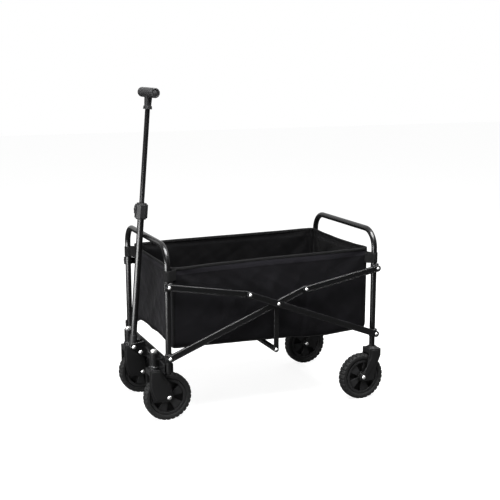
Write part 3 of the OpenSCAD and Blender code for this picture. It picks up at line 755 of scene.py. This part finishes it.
class WAGON_OT_basket_trim(bpy.types.Operator):
    """Sews on the rim tape, the floor piping and the corner seams"""

    bl_idname = "wagon.basket_trim"
    bl_label = "Basket trim"
    tape_half, tape_above = 0.0021, 0.001
    piping_out = 0.0012
    seam_half, seam_width_half, seam_out = 0.0019, 0.0032, 0.0002

    def execute(self, context):
        sizes = context.scene.wagon_basket
        wall, normal, _, (nx, ny) = basket_grid(sizes)
        flat = np.concatenate([normal, np.zeros((len(normal), 1))], 1)
        angle = np.arange(12) / 12 * TAU
        c, up = np.cos(angle), np.sin(angle)
        lift = np.array([0, 0, self.tape_above - sizes.tape / 2])
        tape = wall[0] + flat * (-sizes.cloth / 2) + lift
        hem = wall[-1] + flat * self.piping_out
        parts = [
            tube_along(tape, flat, self.tape_half * squared(c, 0.7), sizes.tape / 2 * squared(up, 0.5), True),
            tube_along(hem, flat, sizes.piping * c, sizes.piping * up, True),
        ]
        for column in (0, nx, nx + ny, 2 * nx + ny):
            line = wall[1:, column] + flat[column] * self.seam_out
            outward = np.repeat(flat[column][None], len(line), 0)
            parts.append(tube_along(line, outward, self.seam_half * c, self.seam_width_half * up, False))
        piece = put("basket_trim", *joined(parts))
        piece.data.materials.append(woven_tape(tuple(context.scene.wagon_colours.webbing)))
        squeeze(piece)
        return {"FINISHED"}


class WAGON_OT_webbing_loops(bpy.types.Operator):
    """Wraps a webbing loop round each upright and sews it to the basket's corner"""

    bl_idname = "wagon.webbing_loops"
    bl_label = "Webbing loops"
    stand_off = 0.0014  # from the tube's or the cloth's face to the band's middle
    start_x = 0.031  # from the upright to the band's start on the long side
    finish_x, finish_y = 0.0165, 0.022  # from the upright, and in from the wall, to its other end
    band_half = 0.0009

    def execute(self, context):
        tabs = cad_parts["bag_front_panel"].data
        co = np.empty(len(tabs.vertices) * 3, np.float32)
        tabs.vertices.foreach_get("co", co)
        co = co.reshape(-1, 3)
        round_post = co[co[:, 0] > FRONT_X]
        low, high = round_post[:, 2].min(), round_post[:, 2].max()
        for end, post_x, toward in (("front", FRONT_X, -1), ("rear", REAR_X, 1)):
            parts = [self.loop(post_x, toward, hand, low, high) for hand in (1, -1)]
            piece = put(f"webbing_loops_{end}", *joined(parts))
            piece.data.materials.append(bpy.data.materials["webbing_weave"])
            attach(piece, f"{end}_frame")
        declare_basket()
        return {"FINISHED"}

    def loop(self, post_x, toward, hand, low, high):
        """A band whose line, seen from above, runs along the basket's side, round the upright and
        back to the end panel, evened out by a running mean of five points; its cross-section is
        a thin upright oval."""
        wrap, back = math.radians(250), math.radians(35)
        angle = np.linspace(0, 1, 33) * wrap - back
        arc = np.stack([-np.sin(angle) * toward, np.cos(angle) * hand], -1) * (UPRIGHT_R + self.stand_off)
        arc += np.array([post_x, UPRIGHT_Y * hand])
        start = np.array([[post_x + toward * self.start_x, (WALL_Y + self.stand_off) * hand]])
        finish = np.array([[post_x + toward * self.finish_x, (WALL_Y - self.finish_y) * hand]])
        line = np.concatenate([start, arc, finish])
        gaps = np.concatenate([[0], np.cumsum(np.linalg.norm(np.diff(line, axis=0), axis=1))])
        even = np.linspace(0, gaps[-1], 60)
        line = np.stack([np.interp(even, gaps, line[:, 0]), np.interp(even, gaps, line[:, 1])], -1)
        kernel = np.array([1, 2, 3, 2, 1]) / 9
        padded = np.concatenate([line[:1], line[:1], line, line[-1:], line[-1:]])
        line = np.stack([np.convolve(padded[:, k], kernel, "valid") for k in (0, 1)], -1)
        ahead = np.gradient(line, axis=0)
        ahead /= np.linalg.norm(ahead, axis=1, keepdims=True)
        side = np.stack([ahead[:, 1], -ahead[:, 0], np.zeros(len(line))], -1)
        path = np.concatenate([line, np.full((len(line), 1), (low + high) / 2)], 1)
        angle = np.arange(16) / 16 * TAU
        across = self.band_half * squared(np.cos(angle), 0.5)
        rise = (high - low) / 2 * squared(np.sin(angle), 0.3)
        return tube_along(path, side, across, rise, False)


class WAGON_OT_tyres(bpy.types.Operator):
    """Builds the four knobbly tyres"""

    bl_idname = "wagon.tyres"
    bl_label = "Tyres"

    def execute(self, context):
        sizes = context.scene.wagon_tyres
        for name in WHEELS:
            node = f"tyre_{name}"
            low, high = place(node)
            centre = (low + high) / 2
            outer, half = (high[2] - low[2]) / 2, (high[1] - low[1]) / 2
            inner = (place(f"wheel_{name}")[1][2] - place(f"wheel_{name}")[0][2]) / 2
            points, faces = self.ring(outer, inner, half, sizes)
            piece = put(f"tread_{name}", points + centre, faces)
            piece.data.materials.append(bpy.data.materials["tyre_compound"])
            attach(piece, f"wheel_{name}")
            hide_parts(node)
        return {"FINISHED"}

    def ring(self, outer, inner, half, sizes):
        """A profile turned about Y. The profile is a rounded box between the rim and the tread;
        grooves cut into its outer part where |sin| of half the lug count times the angle, turned
        half a lug from one shoulder to the other, is small, and along a zigzag at the middle."""
        profile, steps_per_lug, bite = 56, 10, 0.0004  # bite is how far it reaches under the rim
        k = np.arange(profile) / profile * TAU
        c, s = np.cos(k), np.sin(k)
        depth = (outer - inner + bite) / 2
        radial = outer - depth + depth * squared(s, 0.55)
        across = half * squared(c, 0.42)
        across *= 1 - 0.13 * smoothstep(0.35, -1.0, s)
        steps = sizes.lugs * steps_per_lug
        theta = np.arange(steps) / steps * TAU
        place_across = across / half
        swing = theta[:, None] * sizes.lugs / 2 + np.where(place_across > 0, 0.0, math.pi / 2)[None]
        gap = 1 - smoothstep(0.16, 0.42, np.abs(np.sin(swing)))
        crown = smoothstep(0.45, 0.85, (radial - inner) / (outer - inner))
        zig = place_across[None] - 0.16 * np.sin(theta[:, None] * sizes.lugs)
        middle = 1 - smoothstep(0.07, 0.17, np.abs(zig))
        cut = np.maximum(gap * smoothstep(0.12, 0.3, np.abs(place_across))[None], middle) * crown[None]
        r = radial[None] - sizes.depth * cut
        y = across[None] * (1 - 0.035 * cut)
        x, z = r * np.cos(theta[:, None]), r * np.sin(theta[:, None])
        points = np.stack([x, np.broadcast_to(y, x.shape), z], -1).reshape(-1, 3)
        return points, grid_faces(steps, profile, wrap_rows=True, wrap_columns=True)


class WAGON_OT_studio(bpy.types.Operator):
    """Sets the pale floor, the soft lights and the camera"""

    bl_idname = "wagon.studio"
    bl_label = "Studio"

    def execute(self, context):
        sizes, scene = context.scene.wagon_stage, context.scene
        self.floor(tuple(scene.wagon_colours.floor), sizes.glow)
        self.light(scene, "overhead", sizes.overhead, (2.4, 1.2), (0.1, 0.8, 2.3), (0.0, 0.2, 0.3))
        self.light(scene, "high_front", sizes.key, (1.8, 1.4), (0.9, 2.4, 2.6), (0.0, 0.0, 0.3))
        self.light(scene, "low_side", sizes.side, (2.0, 0.5), (1.9, 0.6, 0.27), (0.1, 0.0, 0.27))
        self.surround(scene, sizes)
        self.camera(scene, sizes)
        scene.view_settings.view_transform = "Standard"
        scene.view_settings.gamma = 0.85
        return {"FINISHED"}

    def floor(self, base, glow):
        """A flat grid 24 m wide. The camera sees it pale and even; to the object it is dull, so
        that dark faces stay dark."""
        line = np.linspace(-12, 12, 13)
        x, y = np.meshgrid(line, line, indexing="ij")
        points = np.stack([x.ravel(), y.ravel(), np.zeros(x.size)], -1)
        floor = put("studio_floor", points, grid_faces(len(line), len(line))[:, ::-1])
        f = material("studio_paint")
        mottle = f.blend(f.noise(f.place(), 3.0, 3.0), lighter(base, 0.30), lighter(base, 0.31))
        lit = f.node("ShaderNodeBsdfDiffuse", inputs={"Color": mottle})
        even = f.node("ShaderNodeEmission", inputs={"Color": (1, 1, 1), "Strength": glow})
        pale = f.node("ShaderNodeAddShader", inputs={0: lit, 1: even})
        dull = f.node("ShaderNodeBsdfDiffuse", inputs={"Color": lighter(base, 0.09)})
        self.seen(f, dull, pale, "ShaderNodeOutputMaterial")
        floor.data.materials.append(f.owner)

    def seen(self, f, unseen, seen, output):
        """Ends a tree with one shader for what the camera sees and another for all other rays."""
        by_camera = f.node("ShaderNodeLightPath", out="Is Camera Ray")
        shown = f.node("ShaderNodeMixShader", inputs={0: by_camera, 1: unseen, 2: seen})
        f.node(output, inputs={"Surface": shown})

    def surround(self, scene, sizes):
        """A white backdrop whose light fades smoothly from the far side to the near side."""
        scene.world = bpy.data.worlds.new("surround")
        w = Finish(scene.world)
        behind = Vector((-math.sin(sizes.yaw), -math.cos(sizes.yaw), 0.25))
        fade = {"From Min": -0.1, "From Max": 0.75, "To Min": sizes.shade, "To Max": sizes.sky}
        fade["Value"] = w.dot(w.node("ShaderNodeTexCoord", out="Generated"), behind)
        far = w.node("ShaderNodeMapRange", {"interpolation_type": "SMOOTHSTEP"}, fade)
        dim = w.node("ShaderNodeBackground", inputs={"Color": (1, 1, 1), "Strength": far})
        plain = w.node("ShaderNodeBackground", inputs={"Color": (1, 1, 1), "Strength": 1.0})
        self.seen(w, dim, plain, "ShaderNodeOutputWorld")

    def camera(self, scene, sizes):
        """The camera, which looks along the way given by yaw and pitch."""
        data = bpy.data.cameras.new("studio_camera")
        data.lens, data.sensor_width = sizes.lens, 36.0
        data.clip_start, data.clip_end = 0.05, 100.0
        camera = bpy.data.objects.new("studio_camera", data)
        scene.collection.objects.link(camera)
        camera.location = sizes.camera
        camera.rotation_euler = self.aim(
            -math.sin(sizes.yaw) * math.cos(sizes.pitch),
            -math.cos(sizes.yaw) * math.cos(sizes.pitch),
            -math.sin(sizes.pitch),
        )
        scene.camera = camera

    def aim(self, *way):
        """The turn that points a camera or lamp that way, upright."""
        return Vector(way).to_track_quat("-Z", "Y").to_euler()

    def light(self, scene, name, power, size, at, target):
        """A rectangular soft light that stands at one place and points at another."""
        data = bpy.data.lights.new(name, "AREA")
        data.shape, data.size, data.size_y, data.energy = "RECTANGLE", size[0], size[1], power
        lamp = bpy.data.objects.new(name, data)
        lamp.visible_camera = False
        scene.collection.objects.link(lamp)
        lamp.location = at
        lamp.rotation_euler = self.aim(*(t - a for t, a in zip(target, at)))


class WAGON_PT_pieces(bpy.types.Panel):
    """Lists the wagon's pieces and their sizes"""

    bl_idname = "WAGON_PT_pieces"
    bl_label = "Folding camp wagon"
    bl_space_type = "VIEW_3D"
    bl_region_type = "UI"
    bl_category = "Wagon"

    def draw(self, context):
        for operator in STEPS:
            self.layout.operator(operator.bl_idname)
        for name in GROUPS:
            group = getattr(context.scene, name)
            box = self.layout.box()
            for prop in group.bl_rna.properties:
                if prop.identifier not in ("rna_type", "name"):
                    box.prop(group, prop.identifier)


STEPS = (
    WAGON_OT_frame_finishes,
    WAGON_OT_basket,
    WAGON_OT_basket_trim,
    WAGON_OT_webbing_loops,
    WAGON_OT_tyres,
    WAGON_OT_studio,
)
GROUPS = {
    "wagon_basket": BasketSizes,
    "wagon_tyres": TyreSizes,
    "wagon_colours": Colours,
    "wagon_stage": StageSizes,
}


def register():
    for kind in (*GROUPS.values(), *STEPS, WAGON_PT_pieces):
        bpy.utils.register_class(kind)
    for name, kind in GROUPS.items():
        setattr(bpy.types.Scene, name, bpy.props.PointerProperty(type=kind))


def unregister():
    for name in GROUPS:
        delattr(bpy.types.Scene, name)
    for kind in (WAGON_PT_pieces, *reversed(STEPS), *GROUPS.values()):
        bpy.utils.unregister_class(kind)


def main():
    """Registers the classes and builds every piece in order."""
    register()
    for step in STEPS:
        family, name = step.bl_idname.split(".")
        getattr(getattr(bpy.ops, family), name)()


if __name__ == "__main__":
    main()
